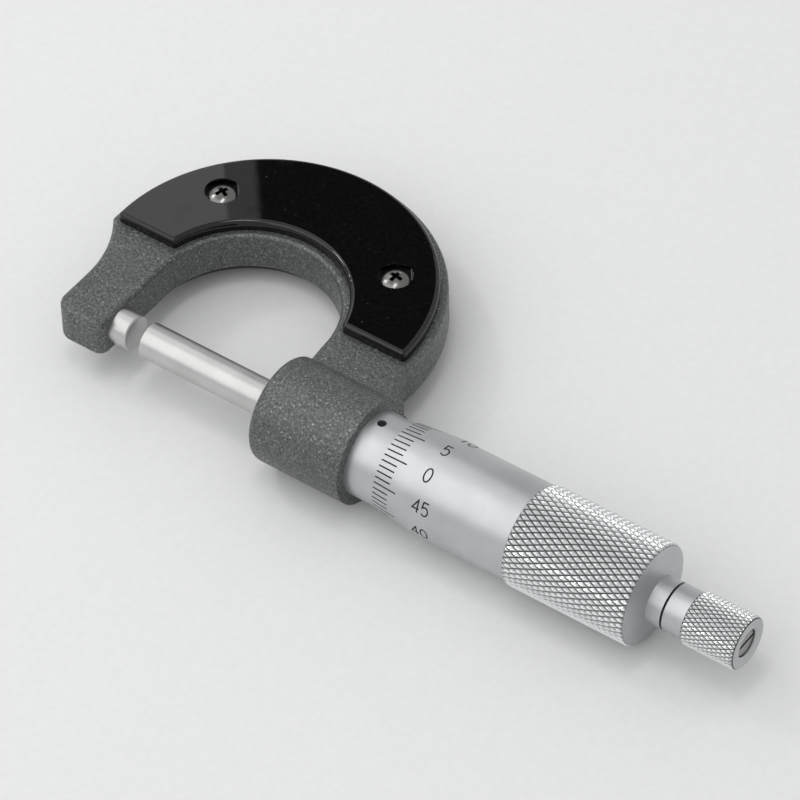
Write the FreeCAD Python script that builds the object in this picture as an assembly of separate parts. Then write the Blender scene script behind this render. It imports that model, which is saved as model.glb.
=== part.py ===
"""Outside micrometer, 0 to 25 mm, lying on its front as it comes to rest.

The spindle's axis is X, pointing from the anvil to the ratchet, and the origin is the middle of the anvil's
measuring face. The frame's bow reaches towards +Y and its back faces up, +Z. Everything is drawn with the
frame level, and at the end it is all rolled a few degrees about X, until the boss and the far rim of the front
cover touch the same flat surface. Lengths are in millimetres and angles in degrees.
"""
import FreeCAD, Part
import math
import os

from FreeCAD import Vector

# Measuring range and the opening at which it lies
full_range = 25.0
rest_opening = 2.8

# Fits and gaps
press_gap = 0.01            # between pieces pressed or screwed together
running_gap = 0.05          # between round pieces that turn or slide in each other
free_gap = 0.2              # around the ratchet screw's head
thread_clearance = 0.4      # between the spindle's thread and the bore that it passes through
thimble_gap = 0.08          # between the sleeve and the thimble's bore
face_gap = 0.1              # between end faces that pass each other
past = 1.0                  # how far a cutting shape reaches beyond the metal
near = 1e-3                 # places closer than this are taken as the same

# Measuring faces
spindle_radius = 3.25
anvil_standout = 3.4        # length of anvil that shows beside the arm
anvil_shank_radius = 2.5
anvil_shank_length = 8.5
tip_chamfer = 0.2

# Frame, seen from above
throat_radius = 16.6
throat_centre_y = 12.9
bow_centre_x = 13.5
bow_centre_y = 18.1
bow_radius = 31.6
arm_width = 10.1            # anvil arm, along X
arm_end_y = -5.2
arm_outer_corner = 3.0
arm_inner_corner = 2.0
flare_start_y = 4.0         # where the hollow outer edge between the anvil arm and the bow starts
flare_end_angle = 181.5     # where it meets the bow, seen from the bow's centre
flare_tip_round = 1.0
neck_radius = 6.4           # hollow outer edge between the bow and the boss
neck_sink = 0.05            # the neck ends this far below the boss's crown
web_thickness = 7.6
web_edge_round = 0.8

# Boss
boss_radius = 9.6
boss_length = 18.85
boss_setback = 0.4          # between the throat's side and the boss's face
boss_edge_round = 1.6
boss_root_round = 0.5       # hollow fillet between the boss and the web
boss_joint_y = 8.0          # below this the frame's inner edge is flush with the boss's face
relief_depth = 0.12         # the boss is this much thinner on the web's side
relief_angle = 82.0         # where that starts, from +Y

# Covers
cover_thickness = 2.0
cover_outer_inset = 1.4
cover_inner_inset = 1.5
cover_end_y = 17.0
cover_edge_round = 0.8
cover_corner_round = 0.7
cover_screw_offset = 18.4   # along X, either side of the throat's middle
cover_screw_y = 31.6

# Cover screws
screw_head_radius = 2.6
screw_head_height = 1.25
screw_head_edge = 0.45      # straight side of the head, below its crown
screw_recess_gap = 0.5      # between the head and the wall of its recess
screw_thread_radius = 1.25
screw_thread_length = 2.8
screw_cross_width = 0.75
screw_cross_length = 3.1    # at the head's crown, tapering to
screw_cross_end = 1.2       # this at the bottom of the recess
screw_cross_depth = 0.9
screw_turns = (-22.0, -5.0) # how far each screw's cross is turned from +X

# Inner sleeve, from the boss to the nut thread
inner_sleeve_radius = 6.2
guide_length = 22.0
nut_length = 12.5
nut_outer_radius = 5.7
slit_width = 0.6
slit_root = 1.0             # nut left whole beside the sleeve
slit_count = 3
inner_sleeve_inset = 0.2    # its end lies this far inside the boss
adjuster_radius = 7.1
adjuster_length = 6.0
adjuster_slot_width = 1.4
adjuster_slot_depth = 1.2

# Graduated sleeve
sleeve_radius = 7.7
sleeve_overlap = 2.8        # sleeve still inside the thimble at full range
spanner_hole_radius = 0.8
spanner_hole_place = 2.1    # from the boss
spanner_hole_angle = 86.0   # from +Y towards +Z
scale_angle = -94.5         # of the datum line, which faces the front
scale_line_width = 0.16
scale_line_depth = 0.05
scale_start = 1.2           # of the datum line, from the boss
full_mark_length = 1.6      # a mark for each millimetre
fifth_mark_length = 2.4     # and a longer one for every fifth
half_mark_length = 1.3      # on the other side, halfway between them

# Thimble, from its edge to its back
thimble_zero_place = 3.2    # from the boss to the thimble's edge when closed
thimble_edge_radius = 8.05
bevel_length = 8.1
barrel_radius = 8.8
barrel_length = 26.6        # bevel and plain barrel together
knurl_radius = 9.25
knurl_length = 23.6
thimble_back_length = 1.2   # crowned end behind the knurl
thimble_end_wall = 7.4      # solid end around the spindle's cone
knurl_chamfer = 0.35
division_count = 50
division_length = 3.2
fifth_division_length = 4.7
division_width = 0.25
division_depth = 0.1
zero_division_angle = 121.5 # from +Y towards +Z

# Spindle
guide_part_length = 52.5    # ground part, from the measuring face
thread_relief_length = 1.5
thread_relief_radius = 3.1
thread_radius = 3.7
cone_large_radius = 3.6
cone_small_radius = 2.95
cone_length = 5.7
cone_lead = 0.5             # cone that shows before the thimble's end wall
shank_hole_spare = 0.5      # hole for the ratchet's shank, beyond its end

# Ratchet
ratchet_collar_radius = 4.28
ratchet_flange_length = 2.8
ratchet_shank_radius = 2.2
ratchet_shank_length = 6.8
ratchet_groove = 0.3        # dark ring between the collar and the knob
hub_across_flats = 3.4
hub_length = 3.3
collar_length = 3.85        # plain front part of the knob
knob_radius = 4.83
knob_length = 13.95
knob_chamfer = 0.4
knob_cavity_radius = 3.5
knob_cavity_depth = 4.45
tooth_count = 10
tooth_height = 0.35
tooth_width = 1.45
tooth_inner_radius = 2.2
disc_radius = 3.3
disc_thickness = 1.6
spring_radius = 2.5
spring_wire = 0.4
spring_turns = 4
spring_end_gap = 0.03
shoulder_radius = 1.15
screw_core_radius = 0.95
ratchet_head_radius = 2.3
ratchet_head_length = 1.2
ratchet_head_recess = 0.5   # depth of the head below the knob's end
ratchet_screw_start = 0.5   # its tip, from the thimble's back
driver_slot_width = 0.6
driver_slot_depth = 0.5

# Spindle lock, on the front of the web
lock_place = 8.3            # along X, from the boss's open end
lock_y = 12.6
lock_stem_radius = 2.0
lock_hole_top = 1.4         # web left above the blind hole
eccentric_offset = 0.2
eccentric_radius = 1.75
eccentric_length = 3.4
eccentric_phase = -90.0     # from -Y, when the lock is open
lock_shoe_radius = 1.5
lock_open_gap = 0.2         # between the shoe and the spindle
bush_radius = 3.3
bush_length = 2.2
bush_flange_radius = 4.1
bush_flange_length = 0.7
washer_thickness = 0.35
washer_inset = 0.5          # inside the lever's hub
lever_gap = 0.25            # between the lever and the front cover's level
lever_thickness = 1.8
lever_hub_radius = 3.9
lever_tip_radius = 2.0
lever_length = 9.0
lever_angle = 0.0           # from +X, when the lock is open
lever_edge_round = 0.4
lock_screw_radius = 1.0
lock_screw_head_radius = 1.9
lock_screw_head_height = 0.8
lock_screw_length = 4.0

# Places along the axis
throat_centre_x = throat_radius - anvil_standout
arm_inner_x = -anvil_standout
arm_outer_x = arm_inner_x - arm_width
throat_right = throat_centre_x + throat_radius
boss_left = throat_right + boss_setback
boss_right = boss_left + boss_length
web_half = web_thickness / 2
cover_top = web_half + cover_thickness
spindle_face = rest_opening
thread_start = spindle_face + guide_part_length + thread_relief_length
thimble_edge = boss_right + thimble_zero_place + rest_opening
knurl_start = thimble_edge + barrel_length
knurl_end = knurl_start + knurl_length
thimble_back = knurl_end + thimble_back_length
thimble_floor = knurl_end - thimble_end_wall
cone_start = thimble_floor - cone_lead
cone_end = cone_start + cone_length
scale_zero = boss_right + thimble_zero_place
sleeve_end = scale_zero + full_range + sleeve_overlap
inner_sleeve_end = sleeve_end + nut_length
collar_end = thimble_back + ratchet_flange_length
knob_start = collar_end + ratchet_groove
knob_end = knob_start + knob_length
knob_cavity_end = knob_start + knob_cavity_depth
thimble_bore = sleeve_radius + thimble_gap
sleeve_bore = inner_sleeve_radius + press_gap
disc_back = knob_cavity_end - 2 * tooth_height - face_gap - disc_thickness

# Places of the spindle lock
lock_x = boss_left + lock_place
lever_top = -(cover_top + lever_gap)
lever_bottom = lever_top - lever_thickness
lock_hole_end = web_half - lock_hole_top
bush_face = -(web_half + bush_flange_length)
shoe_tip_y = spindle_radius + lock_open_gap

# How far the whole thing rolls before the boss and the front cover's rim lie level
rim_y = bow_centre_y + bow_radius - cover_outer_inset - cover_edge_round
rim_z = cover_top - cover_edge_round
rest_roll = math.degrees(
    math.asin((boss_radius - cover_edge_round) / math.hypot(rim_y, rim_z)) - math.atan2(rim_z, rim_y)
)

x_axis = Vector(1, 0, 0)
y_axis = Vector(0, 1, 0)
z_axis = Vector(0, 0, 1)
origin = Vector(0, 0, 0)


def turned(profile):
    """Solid of revolution about X from (x, radius) corners, in order round the section."""
    corners = [Vector(x, radius, 0) for x, radius in profile]
    face = Part.Face(Part.makePolygon(corners + [corners[0]]))
    return face.revolve(origin, x_axis, 360)


def ring(start, end, inner, outer):
    """Plain tube about X."""
    return turned([(start, inner), (end, inner), (end, outer), (start, outer)])


def rod(start, end, radius):
    """Plain cylinder about X."""
    return Part.makeCylinder(radius, end - start, Vector(start, 0, 0), x_axis)


def upright(x, y, radius, bottom, top):
    """Plain cylinder along Z."""
    return Part.makeCylinder(radius, top - bottom, Vector(x, y, bottom), z_axis)


def block(x0, x1, y0, y1, z0, z1):
    return Part.makeBox(x1 - x0, y1 - y0, z1 - z0, Vector(x0, y0, z0))


def arc_edge(centre_x, centre_y, radius, start_angle, end_angle):
    """Arc in plan, from one angle to the other, either way round."""
    points = []
    for angle in (start_angle, (start_angle + end_angle) / 2, end_angle):
        turn = math.radians(angle)
        points.append(Vector(centre_x + radius * math.cos(turn), centre_y + radius * math.sin(turn), 0))
    return Part.Arc(*points).toShape()


def line_edge(start, end):
    return Part.LineSegment(start, end).toShape()


def edges_along_z(shape, x, y):
    """Upright edges of a shape that stand at one place in plan."""
    found = []
    for edge in shape.Edges:
        middle = edge.CenterOfMass
        box = edge.BoundBox
        upright_edge = box.ZLength > near and box.XLength < near and box.YLength < near
        if upright_edge and math.hypot(middle.x - x, middle.y - y) < near:
            found.append(edge)
    return found


def edges_at_height(shape, height, keep=lambda edge: True):
    """Edges that lie flat at one height."""
    found = []
    for edge in shape.Edges:
        box = edge.BoundBox
        if abs(box.ZMin - height) < near and abs(box.ZMax - height) < near and keep(edge):
            found.append(edge)
    return found


def flare_tip():
    """Corner where the hollow edge of the anvil arm meets the bow."""
    turn = math.radians(flare_end_angle)
    return bow_centre_x + bow_radius * math.cos(turn), bow_centre_y + bow_radius * math.sin(turn)


def frame_outline():
    """Outer edge of the cast frame in plan, with the boss closed off below the axis's side."""
    tip_x, tip_y = flare_tip()
    run_x = arm_outer_x - tip_x
    run_y = tip_y - flare_start_y
    flare_radius = (run_x ** 2 + run_y ** 2) / (2 * run_x)
    flare_x = arm_outer_x - flare_radius
    flare_end = math.degrees(math.atan2(run_y, tip_x - flare_x))

    neck_end_y = boss_radius - neck_sink
    to_end_x = boss_right - bow_centre_x
    to_end_y = neck_end_y - bow_centre_y
    to_end = math.hypot(to_end_x, to_end_y)
    reach = bow_radius + neck_radius
    lift = math.acos((reach ** 2 + to_end ** 2 - neck_radius ** 2) / (2 * reach * to_end))
    bow_end = math.atan2(to_end_y, to_end_x) + lift
    neck_x = bow_centre_x + reach * math.cos(bow_end)
    neck_y = bow_centre_y + reach * math.sin(bow_end)
    neck_end = 360 + math.degrees(math.atan2(neck_end_y - neck_y, boss_right - neck_x))
    bow_end = math.degrees(bow_end)

    edges = [
        line_edge(Vector(arm_inner_x, arm_end_y, 0), Vector(arm_outer_x, arm_end_y, 0)),
        line_edge(Vector(arm_outer_x, arm_end_y, 0), Vector(arm_outer_x, flare_start_y, 0)),
        arc_edge(flare_x, flare_start_y, flare_radius, 0, flare_end),
        arc_edge(bow_centre_x, bow_centre_y, bow_radius, flare_end_angle, bow_end),
        arc_edge(neck_x, neck_y, neck_radius, 180 + bow_end, neck_end),
        line_edge(Vector(boss_right, neck_end_y, 0), Vector(boss_right, 0, 0)),
        line_edge(Vector(boss_right, 0, 0), Vector(boss_left, 0, 0)),
        line_edge(Vector(boss_left, 0, 0), Vector(boss_left, boss_joint_y, 0)),
        line_edge(Vector(boss_left, boss_joint_y, 0), Vector(throat_right, throat_centre_y, 0)),
        arc_edge(throat_centre_x, throat_centre_y, throat_radius, 0, 180),
        line_edge(Vector(arm_inner_x, throat_centre_y, 0), Vector(arm_inner_x, arm_end_y, 0)),
    ]
    return Part.Face(Part.Wire(edges))


def frame_plate(face):
    plate = face.extrude(Vector(0, 0, web_thickness)).translated(Vector(0, 0, -web_half))
    plate = plate.makeFillet(arm_outer_corner, edges_along_z(plate, arm_outer_x, arm_end_y))
    plate = plate.makeFillet(arm_inner_corner, edges_along_z(plate, arm_inner_x, arm_end_y))
    plate = plate.makeFillet(flare_tip_round, edges_along_z(plate, *flare_tip()))

    def outside_boss(edge):
        middle = edge.CenterOfMass
        flush = edge.BoundBox.XLength < near and abs(middle.x - boss_right) < near
        under = edge.BoundBox.YLength < near and abs(middle.y) < near
        return not flush and not under

    rims = edges_at_height(plate, web_half, outside_boss) + edges_at_height(plate, -web_half, outside_boss)
    return plate.makeFillet(web_edge_round, rims)


def boss_root(face):
    """Hollow fillets along both sides of the boss, kept inside the frame's outline."""
    centre_z = web_half + boss_root_round
    centre_y = math.sqrt((boss_radius + boss_root_round) ** 2 - centre_z ** 2)
    touch = boss_radius / (boss_radius + boss_root_round)
    on_boss = Vector(boss_left, centre_y * touch, centre_z * touch)
    on_web = Vector(boss_left, centre_y, web_half)
    toward_corner = Vector(0, on_boss.y + on_web.y - 2 * centre_y, on_boss.z + on_web.z - 2 * centre_z)
    middle = Vector(boss_left, centre_y, centre_z) + toward_corner.normalize() * boss_root_round
    inside_top = Vector(boss_left, on_boss.y - past, 0)
    inside_end = Vector(boss_left, centre_y, 0)
    section = Part.Face(Part.Wire([
        Part.Arc(on_web, middle, on_boss).toShape(),
        line_edge(on_boss, inside_top),
        line_edge(inside_top, inside_end),
        line_edge(inside_end, on_web),
    ]))
    upper = section.extrude(Vector(boss_length, 0, 0))
    within = face.extrude(Vector(0, 0, 4 * boss_radius)).translated(Vector(0, 0, -2 * boss_radius))
    upper = upper.common(within)
    return upper.fuse(upper.mirror(origin, z_axis))


def frame():
    face = frame_outline()
    boss = rod(boss_left, boss_right, boss_radius)
    open_end = [edge for edge in boss.Edges if edge.BoundBox.XMax < boss_left + near]
    boss = boss.makeFillet(boss_edge_round, open_end)
    boss = boss.cut(boss_relief())
    body = frame_plate(face).fuse([boss, boss_root(face)]).removeSplitter()
    body = body.cut(rod(boss_left - past, boss_right + past, inner_sleeve_radius + press_gap))
    anvil_end = arm_inner_x - anvil_shank_length
    body = body.cut(rod(anvil_end, arm_inner_x + past, anvil_shank_radius + press_gap))
    for x, y in cover_screw_places():
        body = body.cut(upright(x, y, screw_thread_radius + press_gap, -boss_radius, boss_radius))
    body = body.cut(lock_cavity())
    return body


def boss_relief():
    """Thin sector off the boss's surface, on the web's side."""
    skin = ring(boss_left - past, boss_right + past, boss_radius - relief_depth, boss_radius + past)
    turn = math.radians(relief_angle)
    far = 2 * boss_radius
    sector = Part.Face(Part.makePolygon([
        Vector(boss_left - past, 0, 0),
        Vector(boss_left - past, far * math.cos(turn), far * math.sin(turn)),
        Vector(boss_left - past, far, far),
        Vector(boss_left - past, far, -far),
        Vector(boss_left - past, far * math.cos(turn), -far * math.sin(turn)),
        Vector(boss_left - past, 0, 0),
    ]))
    return skin.common(sector.extrude(Vector(boss_length + 2 * past, 0, 0)))


def lock_cavity():
    """Blind hole for the stem, seat for its bush, and the shoe's bore towards the spindle."""
    hole = upright(lock_x, lock_y, lock_stem_radius + running_gap, -2 * web_half, lock_hole_end)
    seat = upright(lock_x, lock_y, bush_radius + press_gap, -2 * web_half, -web_half + bush_length)
    flange = upright(lock_x, lock_y, bush_flange_radius + face_gap, -2 * web_half, -web_half)
    return hole.fuse([seat, flange, shoe_bore(lock_y)])


def shoe_bore(reach_y):
    length = reach_y - spindle_radius
    start = Vector(lock_x, spindle_radius, 0)
    return Part.makeCylinder(lock_shoe_radius + running_gap, length, start, y_axis)


def cover_screw_places():
    return [(throat_centre_x + side * cover_screw_offset, cover_screw_y) for side in (-1, 1)]


def back_cover():
    outer = upright(bow_centre_x, bow_centre_y, bow_radius - cover_outer_inset, web_half, cover_top)
    inner = upright(throat_centre_x, throat_centre_y, throat_radius + cover_inner_inset,
                    web_half - past, cover_top + past)
    far = bow_radius * 2
    kept = block(bow_centre_x - far, bow_centre_x + far, cover_end_y, bow_centre_y + far,
                 web_half - past, cover_top + past)
    plate = outer.cut(inner).common(kept)
    uprights = []
    for edge in plate.Edges:
        if edge.BoundBox.ZLength > cover_thickness / 2 and abs(edge.CenterOfMass.y - cover_end_y) < near:
            uprights.append(edge)
    plate = plate.makeFillet(cover_corner_round, uprights)
    plate = plate.makeFillet(cover_edge_round, edges_at_height(plate, cover_top))
    for x, y in cover_screw_places():
        recess_radius = screw_head_radius + screw_recess_gap
        plate = plate.cut(upright(x, y, recess_radius, cover_top - screw_head_height, cover_top + past))
        plate = plate.cut(upright(x, y, screw_thread_radius + running_gap, web_half - past, cover_top))
    return plate


def cover_screw(x, y, turn):
    """Pan-head screw with a cross recess, its crown level with the back cover."""
    bottom = cover_top - screw_head_height
    rise = screw_head_height - screw_head_edge
    crown = (screw_head_radius ** 2 + rise ** 2) / (2 * rise)
    dome = Part.makeSphere(crown, Vector(x, y, cover_top - crown))
    head = upright(x, y, screw_head_radius, bottom, cover_top).common(dome)
    shank = upright(x, y, screw_thread_radius, web_half - screw_thread_length, bottom)
    screw = head.fuse(shank).removeSplitter()
    return screw.cut(cross_recess().rotated(origin, z_axis, turn).translated(Vector(x, y, 0)))


def cross_recess():
    """Cutting shape of the cross, whose arms taper towards the bottom."""
    half = screw_cross_width / 2
    reach = screw_cross_length / 2
    floor = cover_top - screw_cross_depth
    first = block(-half, half, -reach, reach, floor, cover_top)
    second = block(-reach, reach, -half, half, floor, cover_top)
    taper = Part.makeCone(screw_cross_end / 2, reach, screw_cross_depth, Vector(0, 0, floor), z_axis)
    return first.fuse(second).common(taper)


def back_cover_screws():
    screws = []
    for (x, y), turn in zip(cover_screw_places(), screw_turns):
        screws.append(cover_screw(x, y, turn))
    return Part.makeCompound(screws)


def anvil():
    return turned([
        (arm_inner_x - anvil_shank_length, 0),
        (0, 0),
        (0, spindle_radius - tip_chamfer),
        (-tip_chamfer, spindle_radius),
        (arm_inner_x, spindle_radius),
        (arm_inner_x, anvil_shank_radius),
        (arm_inner_x - anvil_shank_length, anvil_shank_radius),
    ])


def inner_sleeve():
    """Guide bush and slotted nut in one tube. The nut's fine thread is left plain."""
    start = boss_left + inner_sleeve_inset
    guide_end = boss_left + guide_length
    guide_bore = spindle_radius + running_gap
    free_bore = thread_radius + thread_clearance
    nut_bore = thread_radius + running_gap
    body = turned([
        (start, guide_bore),
        (guide_end, guide_bore),
        (guide_end, free_bore),
        (sleeve_end, free_bore),
        (sleeve_end, nut_bore),
        (inner_sleeve_end, nut_bore),
        (inner_sleeve_end, nut_outer_radius),
        (sleeve_end, nut_outer_radius),
        (sleeve_end, inner_sleeve_radius),
        (start, inner_sleeve_radius),
    ])
    slit = block(sleeve_end + slit_root, inner_sleeve_end + past, 0, inner_sleeve_radius + past,
                 -slit_width / 2, slit_width / 2)
    for number in range(slit_count):
        body = body.cut(slit.rotated(origin, x_axis, 360 / slit_count * number))
    return body.cut(shoe_bore(lock_y))


def adjusting_nut():
    start = sleeve_end + (nut_length - adjuster_length) / 2
    end = start + adjuster_length
    nut = ring(start, end, nut_outer_radius + press_gap, adjuster_radius)
    half = adjuster_slot_width / 2
    reach = adjuster_radius + past
    slots = block(end - adjuster_slot_depth, end + past, -reach, reach, -half, half)
    return nut.cut(slots)


def graduated_sleeve():
    tube = ring(boss_right, sleeve_end, sleeve_bore, sleeve_radius)
    hole = Part.makeCylinder(spanner_hole_radius, sleeve_radius, origin, y_axis)
    hole = hole.translated(Vector(boss_right + spanner_hole_place, sleeve_bore - past, 0))
    return tube.cut([hole.rotated(origin, x_axis, spanner_hole_angle)] + main_scale())


def engraved(x0, x1, y0, y1, angle):
    """Cutting shape of a line on the sleeve, drawn flat beside the datum line and turned to its angle."""
    floor = sleeve_radius - scale_line_depth
    line = block(x0, x1, y0, y1, floor, sleeve_radius + past)
    return line.rotated(origin, x_axis, angle - 90)


def main_scale():
    """Datum line, a mark for each millimetre on its one side and each half on the other."""
    half = scale_line_width / 2
    lines = [engraved(boss_right + scale_start, scale_zero + full_range + half, -half, half, scale_angle)]
    for number in range(2 * int(full_range) + 1):
        x = scale_zero + number / 2
        length = full_mark_length
        if number % 2:
            length = half_mark_length
        elif number % 10 == 0:
            length = fifth_mark_length
        side = -1 if number % 2 else 1
        low, high = sorted((0, side * length))
        lines.append(engraved(x - half, x + half, low, high, scale_angle))
    return lines


def spindle():
    """Ground part, thread and cone in one piece. The fine thread is left plain."""
    guide_end = spindle_face + guide_part_length
    hole = ratchet_shank_radius + press_gap
    hole_start = thimble_back - ratchet_shank_length - shank_hole_spare
    return turned([
        (spindle_face, 0),
        (hole_start, 0),
        (hole_start, hole),
        (cone_end, hole),
        (cone_end, cone_small_radius),
        (cone_start, cone_large_radius),
        (cone_start, thread_radius),
        (thread_start, thread_radius),
        (thread_start, thread_relief_radius),
        (guide_end, thread_relief_radius),
        (guide_end, spindle_radius),
        (spindle_face + tip_chamfer, spindle_radius),
        (spindle_face, spindle_radius - tip_chamfer),
    ])


def thimble():
    """Bevelled edge with divisions, plain barrel and knurled grip. The knurl's points are left off."""
    slope = (cone_large_radius - cone_small_radius) / cone_length
    cone_at_floor = cone_large_radius - slope * cone_lead + running_gap
    shell = turned([
        (thimble_edge, thimble_bore),
        (thimble_floor, thimble_bore),
        (thimble_floor, cone_at_floor),
        (cone_end, cone_small_radius + running_gap),
        (thimble_back, cone_small_radius + running_gap),
        (thimble_back, ratchet_collar_radius + face_gap),
        (knurl_end, knurl_radius - knurl_chamfer),
        (knurl_end - knurl_chamfer, knurl_radius),
        (knurl_start + knurl_chamfer, knurl_radius),
        (knurl_start, knurl_radius - knurl_chamfer),
        (knurl_start, barrel_radius),
        (thimble_edge + bevel_length, barrel_radius),
        (thimble_edge, thimble_edge_radius),
    ])
    return shell.cut([division(number) for number in range(division_count)])


def division(number):
    """Cutting shape of one engraved line on the bevel. Every fifth one is longer."""
    length = division_length if number % 5 else fifth_division_length
    slope = (barrel_radius - thimble_edge_radius) / bevel_length
    start = thimble_edge - past
    end = thimble_edge + length
    low = thimble_edge_radius - division_depth - slope * past
    high = thimble_edge_radius - division_depth + slope * length
    half = division_width / 2
    side = Part.Face(Part.makePolygon([
        Vector(start, low, -half),
        Vector(end, high, -half),
        Vector(end, high + past, -half),
        Vector(start, high + past, -half),
        Vector(start, low, -half),
    ]))
    line = side.extrude(Vector(0, 0, division_width))
    return line.rotated(origin, x_axis, zero_division_angle - 360 / division_count * number)


def hexagon_bar(start, end, across_flats):
    radius = across_flats / math.sqrt(3)
    corners = []
    for number in range(7):
        turn = math.radians(60 * number)
        corners.append(Vector(start, radius * math.cos(turn), radius * math.sin(turn)))
    return Part.Face(Part.makePolygon(corners)).extrude(Vector(end - start, 0, 0))


def ratchet_body():
    """Collar that clamps the thimble on the spindle's cone, with a hexagon hub for the disc."""
    body = rod(thimble_back, collar_end, ratchet_collar_radius)
    body = body.fuse(rod(thimble_back - ratchet_shank_length, thimble_back, ratchet_shank_radius))
    body = body.fuse(hexagon_bar(collar_end, collar_end + hub_length, hub_across_flats)).removeSplitter()
    return body.cut(rod(thimble_back, collar_end + hub_length + past, screw_core_radius + press_gap))


def saw_teeth(base, direction, outer):
    """Ring of saw teeth that stand up from a flat face, to +X or -X."""
    height = direction * tooth_height
    tip = Part.Face(Part.makePolygon([
        Vector(base, 0, -tooth_width / 2),
        Vector(base, 0, tooth_width / 2),
        Vector(base + height, 0, -tooth_width / 2),
        Vector(base, 0, -tooth_width / 2),
    ]))
    tooth = tip.extrude(Vector(0, outer + past, 0))
    low, high = sorted((base, base + height))
    tooth = tooth.common(ring(low, high, tooth_inner_radius, outer))
    return [tooth.rotated(origin, x_axis, 360 / tooth_count * number) for number in range(tooth_count)]


def ratchet_disc():
    face = disc_back + disc_thickness
    disc = rod(disc_back, face, disc_radius)
    hole = hexagon_bar(disc_back - past, face + past, hub_across_flats + 2 * running_gap)
    return disc.cut(hole).fuse(saw_teeth(face, 1, disc_radius)).removeSplitter()


def ratchet_spring():
    """Open coil between the collar and the disc."""
    start = collar_end + spring_wire / 2 + spring_end_gap
    end = disc_back - spring_wire / 2 - spring_end_gap
    path = Part.makeHelix((end - start) / spring_turns, end - start, spring_radius)
    section = Part.Wire([Part.makeCircle(spring_wire / 2, Vector(spring_radius, 0, 0), y_axis)])
    coil = Part.Wire(path.Edges).makePipeShell([section], True, True)
    return coil.rotated(origin, y_axis, 90).translated(Vector(start, 0, 0))


def ratchet_knob():
    bore = shoulder_radius + running_gap
    recess = ratchet_head_radius + free_gap
    recess_start = knob_end - ratchet_head_length - ratchet_head_recess
    knurl_from = knob_start + collar_length
    body = turned([
        (knob_start, knob_cavity_radius),
        (knob_cavity_end, knob_cavity_radius),
        (knob_cavity_end, bore),
        (recess_start, bore),
        (recess_start, recess),
        (knob_end, recess),
        (knob_end, knob_radius - knob_chamfer),
        (knob_end - knob_chamfer, knob_radius),
        (knurl_from + knob_chamfer / 2, knob_radius),
        (knurl_from, knob_radius - knob_chamfer / 2),
        (knurl_from, ratchet_collar_radius),
        (knob_start, ratchet_collar_radius),
    ])
    return body.fuse(saw_teeth(knob_cavity_end, -1, disc_radius)).removeSplitter()


def ratchet_screw():
    """Shoulder screw: thread in the hub, shoulder through the knob, slotted head in the knob's end."""
    hub_end = collar_end + hub_length
    head_end = knob_end - ratchet_head_recess
    head_start = head_end - ratchet_head_length + face_gap
    screw = turned([
        (thimble_back + ratchet_screw_start, 0),
        (head_end, 0),
        (head_end, ratchet_head_radius),
        (head_start, ratchet_head_radius),
        (head_start, shoulder_radius),
        (hub_end, shoulder_radius),
        (hub_end, screw_core_radius),
        (thimble_back + ratchet_screw_start, screw_core_radius),
    ])
    half = driver_slot_width / 2
    reach = ratchet_head_radius + past
    return screw.cut(block(head_end - driver_slot_depth, head_end + past, -reach, reach, -half, half))


def lock_bush():
    """Threaded bush with a flange, flush in the front of the web."""
    bush = upright(lock_x, lock_y, bush_radius, bush_face, -web_half + bush_length)
    flange = upright(lock_x, lock_y, bush_flange_radius, bush_face, -web_half)
    bore = upright(lock_x, lock_y, lock_stem_radius + running_gap, bush_face - past, web_half)
    return bush.fuse(flange).removeSplitter().cut(bore)


def lock_stem():
    """Stem with an eccentric at the height of the shoe."""
    low = -eccentric_length / 2
    high = eccentric_length / 2
    turn = math.radians(eccentric_phase - 90)
    shift_x = eccentric_offset * math.cos(turn)
    shift_y = eccentric_offset * math.sin(turn)
    lower = upright(lock_x, lock_y, lock_stem_radius, lever_top, low)
    cam = upright(lock_x + shift_x, lock_y + shift_y, eccentric_radius, low, high)
    upper = upright(lock_x, lock_y, lock_stem_radius, high, lock_hole_end - face_gap)
    stem = lower.fuse([cam, upper]).removeSplitter()
    thread_end = lever_bottom + lock_screw_length
    thread = upright(lock_x, lock_y, lock_screw_radius + press_gap, lever_bottom, thread_end)
    return stem.cut(thread)


def lock_lever():
    """Teardrop lever, drawn pointing along +X and turned to its open place."""
    reach = lever_length - lever_tip_radius
    hub = upright(0, 0, lever_hub_radius, lever_bottom, lever_top)
    tip = upright(reach, 0, lever_tip_radius, lever_bottom, lever_top)
    lean = math.acos((lever_hub_radius - lever_tip_radius) / reach)
    sides = []
    for place, radius, side in ((0, lever_hub_radius, 1), (reach, lever_tip_radius, 1),
                                (reach, lever_tip_radius, -1), (0, lever_hub_radius, -1)):
        sides.append(Vector(place + radius * math.cos(lean), side * radius * math.sin(lean), lever_bottom))
    web = Part.Face(Part.makePolygon(sides + [sides[0]])).extrude(Vector(0, 0, lever_thickness))
    lever = hub.fuse([tip, web]).removeSplitter()
    lever = lever.makeFillet(lever_edge_round, edges_at_height(lever, lever_bottom))
    lever = lever.cut(upright(0, 0, lock_screw_radius + press_gap, lever_bottom - past, lever_top + past))
    sink = Part.makeCone(lock_screw_head_radius + press_gap, lock_screw_radius + press_gap,
                         lock_screw_head_height, Vector(0, 0, lever_bottom), z_axis)
    lever = lever.cut(sink).rotated(origin, z_axis, lever_angle)
    return lever.translated(Vector(lock_x, lock_y, 0))


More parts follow.
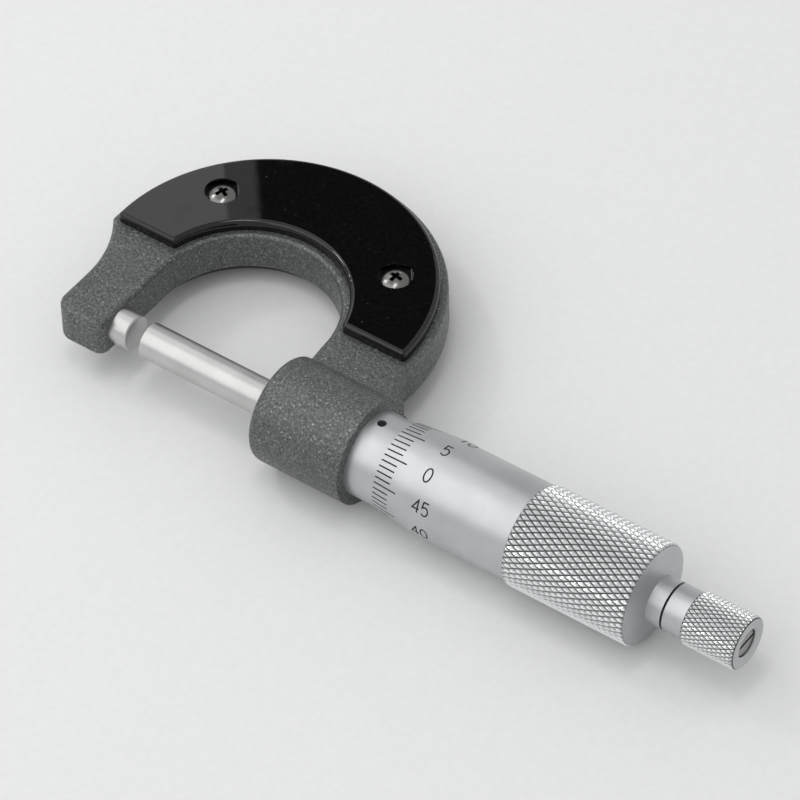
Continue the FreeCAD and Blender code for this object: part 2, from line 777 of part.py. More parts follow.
def lock_screw():
    head = Part.makeCone(lock_screw_head_radius, lock_screw_radius, lock_screw_head_height,
                         Vector(lock_x, lock_y, lever_bottom), z_axis)
    shank = upright(lock_x, lock_y, lock_screw_radius, lever_bottom + lock_screw_head_height,
                    lever_bottom + lock_screw_length)
    screw = head.fuse(shank).removeSplitter()
    half = driver_slot_width / 2
    reach = lock_screw_head_radius + past
    slot = block(lock_x - reach, lock_x + reach, lock_y - half, lock_y + half,
                 lever_bottom - past, lever_bottom + driver_slot_depth)
    return screw.cut(slot)


def lock_washer():
    """Spring washer between the bush and the lever."""
    bottom = bush_face - face_gap / 2 - washer_thickness
    washer = upright(lock_x, lock_y, lever_hub_radius - washer_inset, bottom, bottom + washer_thickness)
    return washer.cut(upright(lock_x, lock_y, lock_stem_radius + running_gap, bottom - past, 0))


def lock_shoe():
    """Plunger from the eccentric to just short of the spindle."""
    cam_side = eccentric_radius + eccentric_offset * math.cos(math.radians(eccentric_phase))
    cam_face = lock_y - cam_side - running_gap
    start = Vector(lock_x, shoe_tip_y, 0)
    return Part.makeCylinder(lock_shoe_radius, cam_face - shoe_tip_y, start, y_axis)


def mirrored(shape):
    return shape.mirror(origin, z_axis)


def save(name, shape):
    shape = shape.rotated(origin, x_axis, -rest_roll)
    shape.exportStep("parts/" + name + ".step")
    print(name, "solids", len(shape.Solids), "valid", shape.isValid(), "volume", round(shape.Volume, 1))


def main():
    os.makedirs("parts", exist_ok=True)
    cover = back_cover()
    screws = back_cover_screws()
    save("frame", frame())
    save("anvil", anvil())
    save("back_cover", cover)
    save("front_cover", mirrored(cover))
    save("back_cover_screws", screws)
    save("front_cover_screws", mirrored(screws))
    save("inner_sleeve", inner_sleeve())
    save("adjusting_nut", adjusting_nut())
    save("graduated_sleeve", graduated_sleeve())
    save("spindle", spindle())
    save("thimble", thimble())
    save("ratchet_body", ratchet_body())
    save("ratchet_disc", ratchet_disc())
    save("ratchet_spring", ratchet_spring())
    save("ratchet_knob", ratchet_knob())
    save("ratchet_screw", ratchet_screw())
    save("lock_bush", lock_bush())
    save("lock_stem", lock_stem())
    save("lock_lever", lock_lever())
    save("lock_screw", lock_screw())
    save("lock_washer", lock_washer())
    save("lock_shoe", lock_shoe())
    print("roll", round(rest_roll, 3))


main()
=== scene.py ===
"""Dressed scene of the outside micrometer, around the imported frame.

Lengths on the micrometer are in millimetres and angles in degrees, in its own level frame. There the axis
of the spindle is X, the origin is the middle of the anvil's face and the back of the bow faces +Z. settle()
rolls them into the row frame and turns them into metres. Lamps and camera are in the row frame, in metres.
"""
import math

import bpy
from mathutils import Matrix, Vector


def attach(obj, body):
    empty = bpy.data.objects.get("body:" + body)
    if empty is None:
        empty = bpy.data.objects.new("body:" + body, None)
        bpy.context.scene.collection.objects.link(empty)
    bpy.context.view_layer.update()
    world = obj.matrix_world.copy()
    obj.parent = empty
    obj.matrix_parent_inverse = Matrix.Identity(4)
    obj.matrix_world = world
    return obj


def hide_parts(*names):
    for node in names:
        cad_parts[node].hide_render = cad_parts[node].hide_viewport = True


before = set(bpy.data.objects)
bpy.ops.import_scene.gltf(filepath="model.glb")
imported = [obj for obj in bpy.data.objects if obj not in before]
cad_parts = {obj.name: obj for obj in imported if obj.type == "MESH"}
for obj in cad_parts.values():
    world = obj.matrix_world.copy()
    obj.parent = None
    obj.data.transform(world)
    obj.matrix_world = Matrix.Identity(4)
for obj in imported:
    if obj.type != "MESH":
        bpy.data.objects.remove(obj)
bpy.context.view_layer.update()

mm = 0.001

# Sizes that the CAD model has too
cover_top = 5.8
throat_centre_x = 13.2
cover_screw_offset = 18.4
cover_screw_y = 31.6
crown_radius = 4.625        # of the screws' domed crowns
rim_y = 47.5
rim_z = 5.0
boss_contact = 8.8
boss_right = 49.05
sleeve_radius = 7.7
thimble_bore = 7.78
thimble_edge = 55.05
thimble_edge_radius = 8.05
bevel_length = 8.1
barrel_radius = 8.8
knurl_start = 81.65
knurl_end = 105.25
knurl_radius = 9.25
thimble_back = 106.45
thimble_back_radius = 4.38
thimble_floor = 97.85
cone_mouth_radius = 3.6
cone_hole_radius = 3.0
cone_end = 103.05
knob_start = 109.55
knob_end = 123.5
knob_collar_radius = 4.28
knob_collar_length = 3.85
knob_radius = 4.83
knob_cavity_radius = 3.5
knob_cavity_end = 114.0
knob_bore = 1.2
knob_recess_start = 121.8
knob_recess_radius = 2.5

# Small bevels of the knob that only the scene has
knob_collar_bevel = 0.12
knob_recess_bevel = 0.25

# Knurls. A mesh of columns and rings carries them, with a few of each for every diamond
steps_per_diamond = 8
thimble_diamonds = 50       # around the grip
thimble_diamond_length = 2.3
thimble_knurl_depth = 0.42
knob_diamonds = 36
knob_diamond_length = 1.7
knob_knurl_depth = 0.28
knurl_edge = 0.35           # bevel at both ends of a knurl
knurl_blunt = 0.85          # the points are flat from this share of their height
knurl_crease = 18           # edges with a larger angle than this are sharp
thimble_columns = thimble_diamonds * steps_per_diamond
knob_columns = knob_diamonds * steps_per_diamond

# Divisions and numbers on the thimble
division_count = 50
zero_angle = 121.5          # of the zero line, from +Y towards +Z
short_line = 3.2
long_line = 4.7
line_depth = 0.09
line_end_run = 0.08         # slope at each end of a line
number_place = 63.45        # left side of the thimble's numbers
number_height = 2.4
number_width = 1.3
number_gap = 0.35           # between digits, in widths of one
stroke_width = 0.27
stroke_step = 0.35          # longest straight piece of a stroke
ink_height = 0.012          # of the digits above the metal
ink_sink = 0.03             # of their foot below its surface

# Main scale on the sleeve
scale_zero = 52.25
full_range = 25
scale_start = 1.2           # of the datum line, from the boss
scale_angle = -94.5         # of the datum line
scale_line_width = 0.16
scale_ink_spare = 0.02      # ink that runs on under the groove's walls
scale_ink_top = -0.012      # the grooves are not quite full
scale_ink_floor = -0.06
full_mark_length = 1.6
fifth_mark_length = 2.4
half_mark_length = 1.3
sleeve_number_height = 1.6
sleeve_number_width = 0.8
sleeve_number_lift = 0.3    # from the end of its mark

# How the micrometer lies, and where the photograph was taken from
roll = math.asin(boss_contact / math.hypot(rim_y, rim_z)) - math.atan2(rim_z, rim_y)
settle_matrix = Matrix.Scale(mm, 4) @ Matrix.Rotation(-roll, 4, "X")
floor_height = -9.6                 # in millimetres, where the boss and the front cover's rim touch it
floor_half_side = 3.0
camera_place = Vector((0.41920, -0.43744, 0.68019))
camera_right = Vector((0.8239, 0.5651, -0.04305))
camera_down = Vector((0.39063, -0.62127, -0.67929))
camera_ahead = Vector((-0.41061, 0.54284, -0.73261))
camera_aim = (46.0, 12.6, 0.0)      # the point in the middle of the picture, in the level frame
camera_sensor = 36
photo_lens = 115.01
zoom = 2.1

# Lamps: place, point that they face, direction of their height, width, height and radiance
lamps = {
    "key": ((-0.31, -0.48, 0.67), (0.05, 0.0, 0.0), (1, 0, 0), 1.0, 1.0, 0.88),
    "top": ((0.03, 0.02, 0.85), (0.03, 0.02, 0.0), (0, 1, 0), 0.12, 0.3, 6.0),
    "left": ((-0.55, 0.07, 0.57), (0.02, 0.03, 0.0), (0, 1, 0), 0.12, 0.12, 12.0),
}

# Surroundings that the gloss of the back cover mirrors. An edge is given by two points that show it there
sky_light = (0.62, 0.625, 0.63)
opening_light = (0.03, 0.03, 0.031)
opening_middle = (14.0, 36.0, cover_top)
opening_edge = ((-5.2, 41.1, cover_top), (3.6, 30.5, cover_top))
opening_fade = (0.965, 0.995)       # cosines of the angles where the opening starts and where it is full
opening_edge_blur = 0.0006
panel_edge = ((-9.75, 38.0, cover_top), (-0.95, 27.4, cover_top))
panel_distance = 1.0
panel_width, panel_height = 0.45, 0.7
panel_radiance = 0.7


def settle(point):
    """A point of the level frame, in millimetres, as a place in the row frame, in metres."""
    return settle_matrix @ Vector(point)


# Materials
class Nodes:
    """Nodes that work out values from a place on a surface or a direction in the surroundings."""

    def __init__(self, tree, coordinates):
        self.nodes, self.links = tree.nodes, tree.links
        self.place = self.nodes.new("ShaderNodeTexCoord").outputs[coordinates]

    def maths(self, kind, operation, *values):
        """The outcome of a node that does sums. Values that come from nodes are linked, others are set."""
        node = self.nodes.new(kind)
        node.operation = operation
        for number, value in enumerate(values):
            if isinstance(value, bpy.types.NodeSocket):
                self.links.new(value, node.inputs[number])
            else:
                node.inputs[number].default_value = value
        return node.outputs["Value"]

    def spread(self, value, low, high, out_low=0.0, out_high=1.0):
        """The value, with the range from low to high mapped to another one and no further."""
        node = self.nodes.new("ShaderNodeMapRange")
        node.inputs["From Min"].default_value = low
        node.inputs["From Max"].default_value = high
        node.inputs["To Min"].default_value = out_low
        node.inputs["To Max"].default_value = out_high
        self.links.new(value, node.inputs["Value"])
        return node.outputs["Result"]

    def ramp(self, value, low_colour, high_colour, low=0.35, high=0.65, peak_colour=None, peak=1.0):
        """A colour for a value: between low and high it blends, and it may go on to a third colour."""
        node = self.nodes.new("ShaderNodeValToRGB")
        first, last = node.color_ramp.elements
        first.position, last.position = low, high
        first.color = (*low_colour, 1)
        last.color = (*high_colour, 1)
        if peak_colour:
            node.color_ramp.elements.new(peak).color = (*peak_colour, 1)
        self.links.new(value, node.inputs["Fac"])
        return node.outputs["Color"]


class Shader(Nodes):
    """A material under construction, with its main shader."""

    def __init__(self, name):
        self.material = bpy.data.materials.new(name)
        self.material.use_nodes = True
        super().__init__(self.material.node_tree, "Object")
        self.main = self.nodes["Principled BSDF"]

    def set(self, **values):
        for name, value in values.items():
            self.main.inputs[name.replace("_", " ")].default_value = value

    def feed(self, value, socket):
        self.links.new(value, self.main.inputs[socket])

    def stretched(self, x, y, z):
        """The place on the surface, scaled along each axis."""
        node = self.nodes.new("ShaderNodeMapping")
        node.inputs["Scale"].default_value = (x, y, z)
        self.links.new(self.place, node.inputs["Vector"])
        return node.outputs["Vector"]

    def noise(self, scale, detail=2.0, place=None, roughness=0.5):
        """Grains, about as many to the metre as the scale says."""
        node = self.nodes.new("ShaderNodeTexNoise")
        node.inputs["Scale"].default_value = scale
        node.inputs["Detail"].default_value = detail
        node.inputs["Roughness"].default_value = roughness
        self.links.new(place or self.place, node.inputs["Vector"])
        return node.outputs["Fac"]

    def height_above_axis(self, low, high):
        """0 where the surface is low mm from the spindle's axis, 1 where it is high mm from it."""
        reach = self.maths("ShaderNodeVectorMath", "LENGTH", self.stretched(0, 1, 1))
        return self.spread(reach, low * mm, high * mm)

    def under_crowns(self, low, high):
        """0 where a cover screw is low mm from the middle of its domed crown's sphere, 1 at high mm."""
        reaches = []
        for side, face in ((-1, -1), (-1, 1), (1, -1), (1, 1)):
            x = throat_centre_x + side * cover_screw_offset
            middle = settle((x, cover_screw_y, face * (cover_top - crown_radius)))
            reaches.append(self.maths("ShaderNodeVectorMath", "DISTANCE", self.place, middle))
        nearest = reaches[0]
        for reach in reaches[1:]:
            nearest = self.maths("ShaderNodeMath", "MINIMUM", nearest, reach)
        return self.spread(nearest, low * mm, high * mm)

    def bump(self, height, depth, under=None):
        """A bump whose full height is depth, in millimetres, on top of another one if there is one."""
        node = self.nodes.new("ShaderNodeBump")
        node.inputs["Strength"].default_value = 1.0
        node.inputs["Distance"].default_value = depth * mm
        self.links.new(height, node.inputs["Height"])
        if under is not None:
            self.links.new(under, node.inputs["Normal"])
        self.links.new(node.outputs["Normal"], self.main.inputs["Normal"])
        return node.outputs["Normal"]


def grey(level):
    return (level, level, level)


def hammered_paint():
    """Dark grey metallic paint, dried into a fine pebbled surface, with bright flakes in it."""
    shader = Shader("hammered_paint")
    grain = shader.noise(2300, 4, roughness=0.7)
    dark, light, flake = (0.062, 0.065, 0.065), (0.15, 0.155, 0.155), (0.5, 0.51, 0.51)
    shader.feed(shader.ramp(grain, dark, light, 0.36, 0.6, flake, 0.73), "Base Color")
    shader.feed(shader.spread(grain, 0.3, 0.7, 0.5, 0.28), "Roughness")
    shader.set(Metallic=0.5)
    pebbles = shader.bump(shader.noise(1500, 2), 0.16)
    shader.bump(shader.noise(3600, 2), 0.07, under=pebbles)
    return shader.material


def cover_plastic():
    """Black gloss moulding with sparse dust, and dull patches where it is handled."""
    shader = Shader("cover_plastic")
    dust = shader.noise(1500, 2, roughness=0.6)
    shader.feed(shader.ramp(dust, grey(0.002), grey(0.005), 0.35, 0.74, grey(0.16), 0.8), "Base Color")
    handled = shader.noise(55, 5, roughness=0.65)
    shader.feed(shader.spread(handled, 0.5, 0.72, 0.014, 0.11), "Roughness")
    shader.bump(shader.noise(200, 2), 0.0006)
    return shader.material


def dark_screw():
    """Blackened steel, with painted shade that darkens the cross recess."""
    shader = Shader("dark_screw")
    worn = shader.noise(1000, 3)
    # Painted shade: the colour is near black from the first depth below the crown, and fades back to the
    # steel's colour by the second
    full_shade_depth, no_shade_depth = 0.35, 0.05     # depths below the crown
    unshaded = shader.under_crowns(crown_radius - full_shade_depth, crown_radius - no_shade_depth)
    shader.feed(shader.ramp(unshaded, grey(0.004), (0.2, 0.195, 0.19), 0.0, 1.0), "Base Color")
    shader.feed(shader.spread(worn, 0.3, 0.7, 0.16, 0.28), "Roughness")
    shader.set(Metallic=1.0)
    shader.bump(worn, 0.004)
    return shader.material


def turned_metal(name, low, high, rough_low, rough_high):
    """Metal with fine marks round the axis, as turning or grinding leaves them."""
    shader = Shader(name)
    rings = shader.noise(1.0, 2, place=shader.stretched(3600, 90, 90), roughness=0.6)
    soft = shader.noise(160, 3)
    shader.feed(shader.ramp(soft, low, high, 0.3, 0.7), "Base Color")
    shader.feed(shader.spread(rings, 0.3, 0.7, rough_low, rough_high), "Roughness")
    shader.set(Metallic=1.0)
    shader.bump(rings, 0.0003)
    return shader.material


def satin_chrome():
    return turned_metal("satin_chrome", (0.50, 0.51, 0.515), (0.56, 0.57, 0.575), 0.38, 0.43)


def ground_steel():
    return turned_metal("ground_steel", (0.52, 0.52, 0.51), (0.59, 0.59, 0.58), 0.32, 0.38)


def plain_steel():
    return turned_metal("plain_steel", (0.30, 0.30, 0.295), (0.42, 0.42, 0.41), 0.3, 0.42)


def oiled_steel():
    return turned_metal("oiled_steel", grey(0.05), grey(0.09), 0.35, 0.5)


def knurled_chrome(name, radius, depth):
    """Satin chrome on the rolled points, rougher in the grooves, where painted shade darkens the colour."""
    shader = Shader(name)
    height = shader.height_above_axis(radius - depth, radius)
    # Painted shade: the colour darkens from the points down to the bottom of the grooves
    shader.feed(shader.ramp(height, grey(0.1), (0.83, 0.84, 0.845), 0.05, 0.5), "Base Color")
    shader.feed(shader.spread(height, 0, 0.5, 0.4, 0.24), "Roughness")
    shader.set(Metallic=1.0)
    shader.bump(shader.noise(2600, 2), 0.004)
    return shader.material


def spring_steel():
    """Drawn wire, mottled by heat."""
    shader = Shader("spring_steel")
    soft = shader.noise(1800, 3)
    shader.feed(shader.ramp(soft, grey(0.22), (0.36, 0.35, 0.34)), "Base Color")
    shader.feed(shader.spread(soft, 0.3, 0.7, 0.25, 0.4), "Roughness")
    shader.set(Metallic=1.0)
    return shader.material


def lever_chrome():
    """Bright chrome on a polished pressing."""
    shader = Shader("lever_chrome")
    soft = shader.noise(500, 4)
    shader.feed(shader.ramp(soft, (0.55, 0.56, 0.57), (0.66, 0.67, 0.68)), "Base Color")
    shader.feed(shader.spread(soft, 0.3, 0.7, 0.12, 0.22), "Roughness")
    shader.set(Metallic=1.0)
    shader.bump(shader.noise(700, 2), 0.006)
    return shader.material


def line_ink():
    """Dark paint in the engraved lines and numbers."""
    shader = Shader("line_ink")
    soft = shader.noise(2500, 2)
    shader.feed(shader.ramp(soft, grey(0.012), grey(0.03)), "Base Color")
    shader.feed(shader.spread(soft, 0.3, 0.7, 0.6, 0.75), "Roughness")
    shader.set(Specular_IOR_Level=0.25)
    return shader.material


def floor_paper():
    """Plain pale studio paper."""
    shader = Shader("floor_paper")
    fibre = shader.noise(900, 3)
    shader.feed(shader.ramp(fibre, grey(0.81), grey(0.83)), "Base Color")
    shader.set(Roughness=0.9)
    return shader.material


finishes = {
    "paint": hammered_paint(),
    "plastic": cover_plastic(),
    "dark": dark_screw(),
    "chrome": satin_chrome(),
    "ground": ground_steel(),
    "steel": plain_steel(),
    "oiled": oiled_steel(),
    "grip knurl": knurled_chrome("grip_knurl", knurl_radius, thimble_knurl_depth),
    "knob knurl": knurled_chrome("knob_knurl", knob_radius, knob_knurl_depth),
    "spring": spring_steel(),
    "lever": lever_chrome(),
    "ink": line_ink(),
}


def make_mesh(name, points, faces, materials, face_finish=None, sharp=25):
    """A mesh object from points of the level frame, smooth but for edges sharper than the given angle."""
    mesh = bpy.data.meshes.new(name)
    mesh.from_pydata([settle(point) for point in points], [], faces)
    for material in materials:
        mesh.materials.append(finishes[material])
    if face_finish:
        mesh.polygons.foreach_set("material_index", face_finish)
    mesh.polygons.foreach_set("use_smooth", [True] * len(faces))
    mesh.set_sharp_from_angle(angle=math.radians(sharp))
    mesh.update()
    piece = bpy.data.objects.new(name, mesh)
    bpy.context.scene.collection.objects.link(piece)
    return piece


def division_angle(number):
    """Angle of a division of the thimble, from +Y towards +Z."""
    return zero_angle - 360 / division_count * number


def around(x, radius, angle):
    """A point at an angle from +Y towards +Z."""
    turn = math.radians(angle)
    return (x, radius * math.cos(turn), radius * math.sin(turn))


def turned_points(rings, columns):
    """Points of rings round X. A ring is (x, radius), or (x, [a radius for each column])."""
    points = []
    for x, radius in rings:
        for column in range(columns):
            here = radius[column] if isinstance(radius, list) else radius
            points.append(around(x, here, 360 * column / columns))
    return points


def turned_faces(ring_count, columns, creased):
    """Quads between the rings, the last one joined to the first. In the creased rings they are split into
    triangles along the knurl's grooves and ridges."""
    faces = []
    half = steps_per_diamond // 2
    for ring in range(ring_count):
        after = (ring + 1) % ring_count
        for column in range(columns):
            beside = (column + 1) % columns
            a, b = ring * columns + column, ring * columns + beside
            c, d = after * columns + beside, after * columns + column
            if ring not in creased:
                faces.append((a, b, c, d))
            elif (ring - creased.start + column + 1) % half == 0:
                faces.append((a, b, d))
                faces.append((b, c, d))
            else:
                faces.append((a, b, c))
                faces.append((a, c, d))
    return faces


def wave(value):
    """0 at whole numbers and 1 halfway between them."""
    return 1 - abs(2 * (value % 1) - 1)


def knurl_rings(start, end, radius, columns, length, depth):
    """Rings of a diamond knurl: two families of V grooves with slightly blunted points between them."""
    count = round((end - start) / length * steps_per_diamond)
    rings = []
    for row in range(count + 1):
        x = start + (end - start) * row / count
        fade = min(1, (x - start) / knurl_edge, (end - x) / knurl_edge)
        rim = radius - knurl_edge * (1 - max(0, fade))
        radii = []
        for column in range(columns):
            one = wave((column + row) / steps_per_diamond)
            other = wave((column - row) / steps_per_diamond)
            height = min(one, other, knurl_blunt) / knurl_blunt
            radii.append(min(rim, radius - depth * (1 - height)))
        rings.append((x, radii))
    return rings


def knurled_mesh(name, columns, front, knurl, back, materials, cut=frozenset()):
    """A turned piece, from its rings in front of the knurl, on it and behind it. Its materials are for the
    plain surface, for the knurl and for the lines, whose points are listed as cut."""
    rings = front + knurl + back
    first, last = len(front), len(front) + len(knurl) - 1
    faces = turned_faces(len(rings), columns, range(first, last))
    cut_rings = {point // columns for point in cut}
    plain, knurled, inked = range(3)
    finish = []
    for face in faces:
        start, end = min(face) // columns, max(face) // columns
        if start >= first and end <= last:
            finish.append(knurled)
        elif start in cut_rings and end in cut_rings and cut.intersection(face):
            finish.append(inked)
        else:
            finish.append(plain)
    return make_mesh(name, turned_points(rings, columns), faces, materials, finish, sharp=knurl_crease)


def division_columns():
    """Column of each division line, and whether it is a long one."""
    found = {}
    for number in range(division_count):
        column = round(division_angle(number) / 360 * thimble_columns) % thimble_columns
        found[column] = number % 5 == 0
    return found


def thimble():
    """Bevelled edge with engraved divisions, plain barrel, knurled grip and crowned back."""
    # Distance of each ring of the bevel from the edge, and the division lines that are cut into it
    bevel = [
        (0, "none"),
        (line_end_run / 2, "all"),
        (short_line - line_end_run, "all"),
        (short_line, "long"),
        (long_line - line_end_run, "long"),
        (long_line, "none"),
    ]
    slope = (barrel_radius - thimble_edge_radius) / bevel_length
    divisions = division_columns()
    front = [(thimble_edge, thimble_bore)]
    cut = set()
    for distance, lines in bevel:
        radii = [thimble_edge_radius + slope * distance] * thimble_columns
        for column, is_long in divisions.items():
            if lines == "all" or lines == "long" and is_long:
                radii[column] -= line_depth
                cut.add(len(front) * thimble_columns + column)
        front.append((thimble_edge + distance, radii))
    front += [
        (thimble_edge + bevel_length, barrel_radius),
        (knurl_start, barrel_radius),
    ]
    knurl = knurl_rings(knurl_start, knurl_end, knurl_radius, thimble_columns, thimble_diamond_length,
                        thimble_knurl_depth)
    back = [
        (thimble_back, thimble_back_radius),
        (thimble_back, cone_hole_radius),
        (cone_end, cone_hole_radius),
        (thimble_floor, cone_mouth_radius),
        (thimble_floor, thimble_bore),
    ]
    piece = knurled_mesh("thimble_shell", thimble_columns, front, knurl, back,
                         ["chrome", "grip knurl", "ink"], cut)
    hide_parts("thimble")
    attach(piece, "thimble")


def ratchet_knob():
    """Plain collar and knurled cap, with a recess for the screw's head."""
    knurl_from = knob_start + knob_collar_length
    front = [
        (knob_start, knob_cavity_radius),
        (knob_start, knob_collar_radius - knob_collar_bevel),
        (knob_start + knob_collar_bevel, knob_collar_radius),
        (knurl_from, knob_collar_radius),
    ]
    knurl = knurl_rings(knurl_from, knob_end, knob_radius, knob_columns, knob_diamond_length,
                        knob_knurl_depth)
    back = [
        (knob_end, knob_recess_radius + knob_recess_bevel),
        (knob_end - knob_recess_bevel, knob_recess_radius),
        (knob_recess_start, knob_recess_radius),
        (knob_recess_start, knob_bore),
        (knob_cavity_end, knob_bore),
        (knob_cavity_end, knob_cavity_radius),
    ]
    piece = knurled_mesh("ratchet_knob_cap", knob_columns, front, knurl, back, ["chrome", "knob knurl"])
    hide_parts("ratchet_knob")
    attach(piece, "ratchet_knob")


# Numbers and lines in dark paint
def arc(centre_x, centre_y, radius_x, radius_y, start, end, steps=14):
    """Points along part of an ellipse."""
    points = []
    for step in range(steps + 1):
        turn = math.radians(start + (end - start) * step / steps)
        points.append((centre_x + radius_x * math.cos(turn), centre_y + radius_y * math.sin(turn)))
    return points


def digit_strokes(digit):
    """Centre lines of a digit's strokes, in a box one wide and two high. True closes a stroke."""
    if digit == 0:
        return [(arc(0.5, 1, 0.5, 1, 0, 360, 28)[:-1], True)]
    if digit == 1:
        return [([(0.2, 1.6), (0.6, 2), (0.6, 0)], False)]
    if digit == 2:
        return [(arc(0.5, 1.5, 0.48, 0.5, 170, -35) + [(0.02, 0), (1, 0)], False)]
    if digit == 3:
        upper = arc(0.5, 1.52, 0.43, 0.48, 150, -80)
        lower = arc(0.5, 0.52, 0.48, 0.52, 80, -150)
        return [(upper + lower, False)]
    if digit == 4:
        return [([(0.75, 0), (0.75, 2), (0, 0.6), (1, 0.6)], False)]
    return [([(0.92, 2), (0.15, 2), (0.08, 1.12)] + arc(0.48, 0.65, 0.5, 0.65, 125, -140), False)]


def unit(a, b):
    """The direction from one point to another."""
    length = math.hypot(b[0] - a[0], b[1] - a[1])
    return ((b[0] - a[0]) / length, (b[1] - a[1]) / length)


def finely(path, closed):
    """The path with points added, so that its straight parts follow the round surface."""
    points = []
    ends = path[1:] + path[:1] if closed else path[1:]
    for start, end in zip(path, ends):
        count = math.ceil(math.dist(start, end) / stroke_step)
        for step in range(count):
            points.append(tuple(a + (b - a) * step / count for a, b in zip(start, end)))
    if not closed:
        points.append(path[-1])
    return points


def ribbon(path, closed, width):
    """Left and right edge of a stroke of that width along a path."""
    left, right = [], []
    count = len(path)
    for number, point in enumerate(path):
        before = path[number - 1] if number or closed else None
        after = path[(number + 1) % count] if number < count - 1 or closed else None
        into = unit(before, point) if before else unit(point, after)
        out = unit(point, after) if after else into
        across = (-(into[1] + out[1]), into[0] + out[0])
        size = math.hypot(*across)
        across = (across[0] / size, across[1] / size)
        fit = across[0] * -into[1] + across[1] * into[0]
        reach = width / 2 / max(fit, 0.5)
        left.append((point[0] + across[0] * reach, point[1] + across[1] * reach))
        right.append((point[0] - across[0] * reach, point[1] - across[1] * reach))
    return left, right


def add_stroke(points, faces, path, closed, width, place, top=ink_height, floor=-ink_sink):
    """Adds a thin closed bar along a path. place(u, v, height) sets a point of it on the surface."""
    path = finely(path, closed)
    left, right = ribbon(path, closed, width)
    start = len(points)
    for one, other in zip(left, right):
        for corner, height in ((one, top), (other, top), (other, floor), (one, floor)):
            points.append(place(corner[0], corner[1], height))
    count = len(path)
    for number in range(count if closed else count - 1):
        here, there = start + 4 * number, start + 4 * ((number + 1) % count)
        for side in range(4):
            beside = (side + 1) % 4
            faces.append((here + side, here + beside, there + beside, there + side))
    if not closed:
        last = start + 4 * (count - 1)
        faces.append((start + 3, start + 2, start + 1, start))
        faces.append((last, last + 1, last + 2, last + 3))


def add_number(points, faces, text, left, angle, radius, height, width):
    """A number that reads along +X, centred on an angle, with its top towards smaller angles."""
    for place, character in enumerate(text):
        start = left + place * (1 + number_gap) * width

        def on_surface(u, v, above, start=start):
            return around(start + u, radius + above, angle - math.degrees((v - height / 2) / radius))

        for path, closed in digit_strokes(int(character)):
            scaled = [(u * width, v * height / 2) for u, v in path]
            add_stroke(points, faces, scaled, closed, stroke_width, on_surface)


def thimble_numbers():
    """A number behind each long division."""
    points, faces = [], []
    for number in range(0, division_count, 5):
        add_number(points, faces, str(number), number_place, division_angle(number), barrel_radius,
                   number_height, number_width)
    piece = make_mesh("thimble_numbers", points, faces, ["ink"])
    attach(piece, "thimble")


def sleeve_scale():
    """Ink in the engraved scale on the sleeve's front, and its numbers."""
    points, faces = [], []
    width = scale_line_width + scale_ink_spare

    def on_sleeve(u, v, above):
        return around(u, sleeve_radius + above, scale_angle - math.degrees(v / sleeve_radius))

    def fill(start, end):
        add_stroke(points, faces, [start, end], False, width, on_sleeve, scale_ink_top, scale_ink_floor)

    fill((boss_right + scale_start, 0), (scale_zero + full_range + scale_line_width / 2, 0))
    for number in range(2 * full_range + 1):
        x = scale_zero + number / 2
        if number % 2:
            fill((x, 0), (x, -half_mark_length))
        elif number % 10:
            fill((x, 0), (x, full_mark_length))
        else:
            fill((x, 0), (x, fifth_mark_length))
            text = str(number // 2)
            text_width = (len(text) * (1 + number_gap) - number_gap) * sleeve_number_width
            lift = fifth_mark_length + sleeve_number_lift + sleeve_number_height / 2
            angle = scale_angle - math.degrees(lift / sleeve_radius)
            add_number(points, faces, text, x - text_width / 2, angle, sleeve_radius, sleeve_number_height,
                       sleeve_number_width)
    piece = make_mesh("sleeve_scale", points, faces, ["ink"])
    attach(piece, "frame")


def dress_frame_nodes():
    """Materials of the CAD nodes that stay."""
    chosen = {
        "paint": ["frame"],
        "plastic": ["back_cover", "front_cover"],
        "dark": ["back_cover_screws", "front_cover_screws"],
        "chrome": ["graduated_sleeve", "ratchet_body"],
        "ground": ["anvil", "spindle", "lock_shoe"],
        "steel": ["ratchet_disc", "ratchet_screw", "lock_bush", "lock_stem", "lock_screw"],
        "oiled": ["inner_sleeve", "adjusting_nut"],
        "spring": ["ratchet_spring", "lock_washer"],
        "lever": ["lock_lever"],
    }
    for finish, nodes in chosen.items():
        for node in nodes:
            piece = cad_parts[node]
            if not piece.material_slots:
                piece.data.materials.append(finishes[finish])
            for slot in piece.material_slots:
                slot.material = finishes[finish]


# Floor, light and camera
def floor():
    """A sheet of paper, wide enough to fill the view."""
    side, height = floor_half_side, floor_height * mm
    corners = [(x * side, y * side, height) for x, y in ((-1, -1), (1, -1), (1, 1), (-1, 1))]
    mesh = bpy.data.meshes.new("floor")
    mesh.from_pydata(corners, [], [(0, 1, 2, 3)])
    mesh.materials.append(floor_paper())
    piece = bpy.data.objects.new("floor", mesh)
    bpy.context.scene.collection.objects.link(piece)


def lamp(name, place, target, edge, width, height, radiance):
    """A soft panel of even brightness, facing the target. Its height runs along the edge direction."""
    light = bpy.data.lights.new(name, "AREA")
    light.shape = "RECTANGLE"
    light.size, light.size_y = width, height
    light.energy = radiance * math.pi * width * height
    back = (Vector(place) - Vector(target)).normalized()
    side = Vector(edge).cross(back).normalized()
    holder = bpy.data.objects.new(name, light)
    holder.location = place
    holder.rotation_mode = "QUATERNION"
    holder.rotation_quaternion = Matrix((side, back.cross(side), back)).transposed().to_quaternion()
    bpy.context.scene.collection.objects.link(holder)


def mirrored(point):
    """The direction that the camera sees in a point of the back cover, which mirrors its surroundings."""
    normal = (settle((0, 0, 1)) - settle((0, 0, 0))).normalized()
    sight = (settle(point) - camera_place).normalized()
    return sight - 2 * sight.dot(normal) * normal


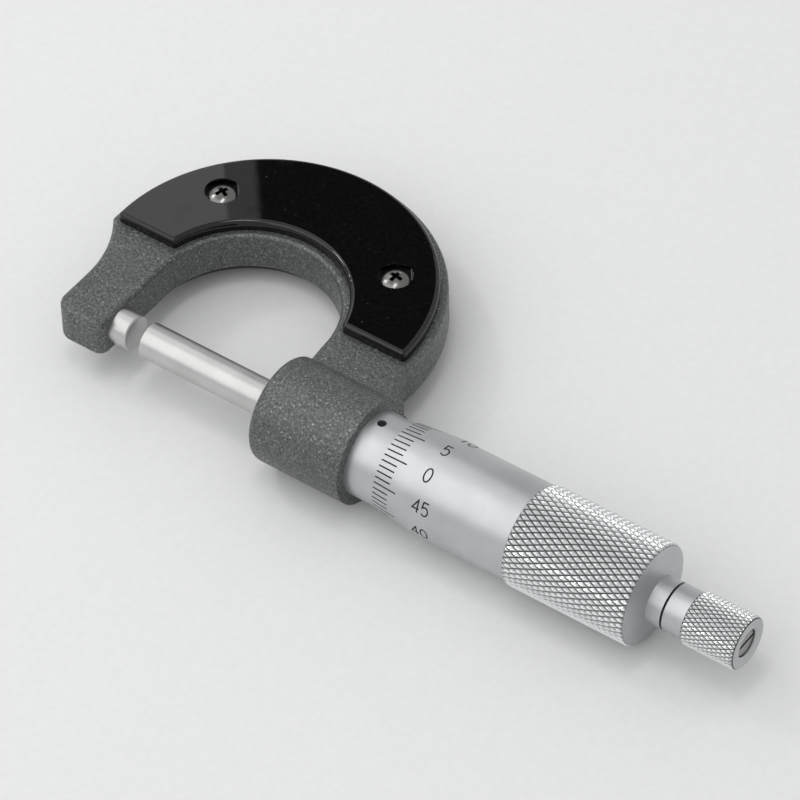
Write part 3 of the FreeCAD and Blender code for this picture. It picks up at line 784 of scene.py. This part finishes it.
def side_panel():
    """A pale panel behind the bow, whose edge shows as a line across the cover's gloss."""
    one, other = [settle(point) + panel_distance * mirrored(point) for point in panel_edge]
    middle = (one + other) / 2
    edge = (other - one).normalized()
    back = middle.normalized()
    outward = edge.cross(back).normalized()
    if outward.x > 0:
        outward = -outward
    place = middle + outward * panel_width / 2
    lamp("side_panel", place, place - back, edge, panel_width, panel_height, panel_radiance)


def sky():
    """Soft pale studio surroundings, with a dim opening behind the bow that the gloss cover mirrors.
    Its near edge is straight, and elsewhere it fades into the rest."""
    world = bpy.data.worlds.new("studio")
    bpy.context.scene.world = world
    world.use_nodes = True
    sight = Nodes(world.node_tree, "Generated")

    def facing(direction, low, high):
        """0 where the dot product with a direction is low, 1 where it is high."""
        toward = sight.maths("ShaderNodeVectorMath", "DOT_PRODUCT", sight.place, direction)
        return sight.spread(toward, low, high)

    middle = mirrored(opening_middle)
    one, other = [mirrored(point) for point in opening_edge]
    inward = one.cross(other).normalized()
    if inward.dot(middle) < 0:
        inward = -inward
    opening = sight.maths("ShaderNodeMath", "MULTIPLY", facing(middle, *opening_fade),
                          facing(inward, -opening_edge_blur, opening_edge_blur))
    background = sight.nodes["Background"]
    sight.links.new(sight.ramp(opening, sky_light, opening_light, 0.0, 1.0), background.inputs["Color"])
    background.inputs["Strength"].default_value = 1.0


def camera():
    """The photograph's camera: the same place, turned and zoomed until the micrometer fills the frame."""
    pose = Matrix((camera_right, -camera_down, -camera_ahead)).transposed()
    turn = camera_ahead.rotation_difference((settle(camera_aim) - camera_place).normalized())
    data = bpy.data.cameras.new("camera")
    data.sensor_width = camera_sensor
    data.lens = photo_lens * zoom
    data.clip_start, data.clip_end = 0.05, 20
    holder = bpy.data.objects.new("camera", data)
    holder.rotation_mode = "QUATERNION"
    holder.location = camera_place
    holder.rotation_quaternion = turn @ pose.to_quaternion()
    bpy.context.scene.collection.objects.link(holder)
    bpy.context.scene.camera = holder


camera()
sky()
floor()
for name, settings in lamps.items():
    lamp(name, *settings)
side_panel()
dress_frame_nodes()
thimble()
thimble_numbers()
ratchet_knob()
sleeve_scale()

bpy.context.scene.view_settings.view_transform = "Standard"
